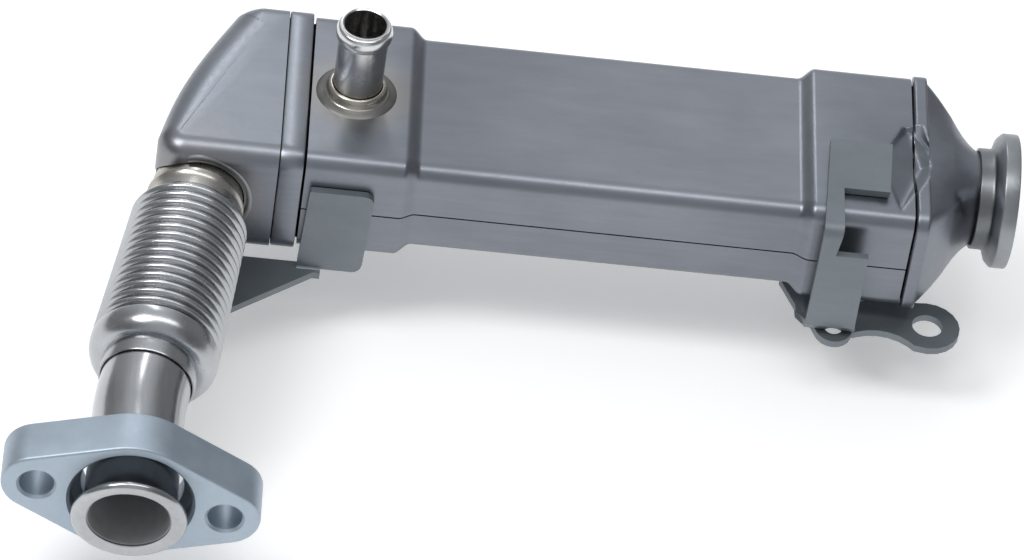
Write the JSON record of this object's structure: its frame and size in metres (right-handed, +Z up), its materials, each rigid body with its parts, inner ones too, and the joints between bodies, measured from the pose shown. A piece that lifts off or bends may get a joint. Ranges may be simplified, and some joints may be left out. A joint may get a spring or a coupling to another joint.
{
  "type": "exhaust gas recirculation cooler",
  "caption": "Brazed stainless cooler with a pressed elbow inlet, a bellows pipe on a loose diamond flange, a tapered outlet with a clamp flange, hose spigots and sheet brackets.",
  "frame": {"origin": "centre of the outlet clamp flange's face, on the core's axis", "axes": "+X along the core towards the outlet, +Y to the back, away from the pipe side, +Z up, the side of the coolant inlet spigot"},
  "size_m": [0.3063, 0.208, 0.0954],
  "materials": {
    "shell_steel": "satin rolled stainless sheet",
    "tube_steel": "bright drawn stainless tube",
    "flange_steel": "fine matt machined steel",
    "bracket_steel": "satin pressed sheet"
  },
  "bodies": {
    "root": {"bellows": "tube_steel", "coolant_inlet_collar": "tube_steel", "coolant_inlet_spigot": "tube_steel", "coolant_outlet_collar": "tube_steel", "coolant_outlet_spigot": "tube_steel", "gas_tube_1": "tube_steel", "gas_tube_2": "tube_steel", "gas_tube_3": "tube_steel", "gas_tube_4": "tube_steel", "gas_tube_5": "tube_steel", "gas_tube_6": "tube_steel", "gas_tube_7": "tube_steel", "gas_tube_8": "tube_steel", "inlet_flange": "flange_steel", "inlet_header": "shell_steel", "inlet_pipe": "tube_steel", "inlet_stub": "tube_steel", "inlet_tube_plate": "shell_steel", "left_bracket": "bracket_steel", "lower_shell": "shell_steel", "outlet_clamp_flange": "flange_steel", "outlet_diffuser": "shell_steel", "outlet_tube_plate": "shell_steel", "right_bracket": "bracket_steel", "tube_comb_1": "shell_steel", "tube_comb_2": "shell_steel", "upper_shell": "shell_steel"}
  },
  "joints": []
}
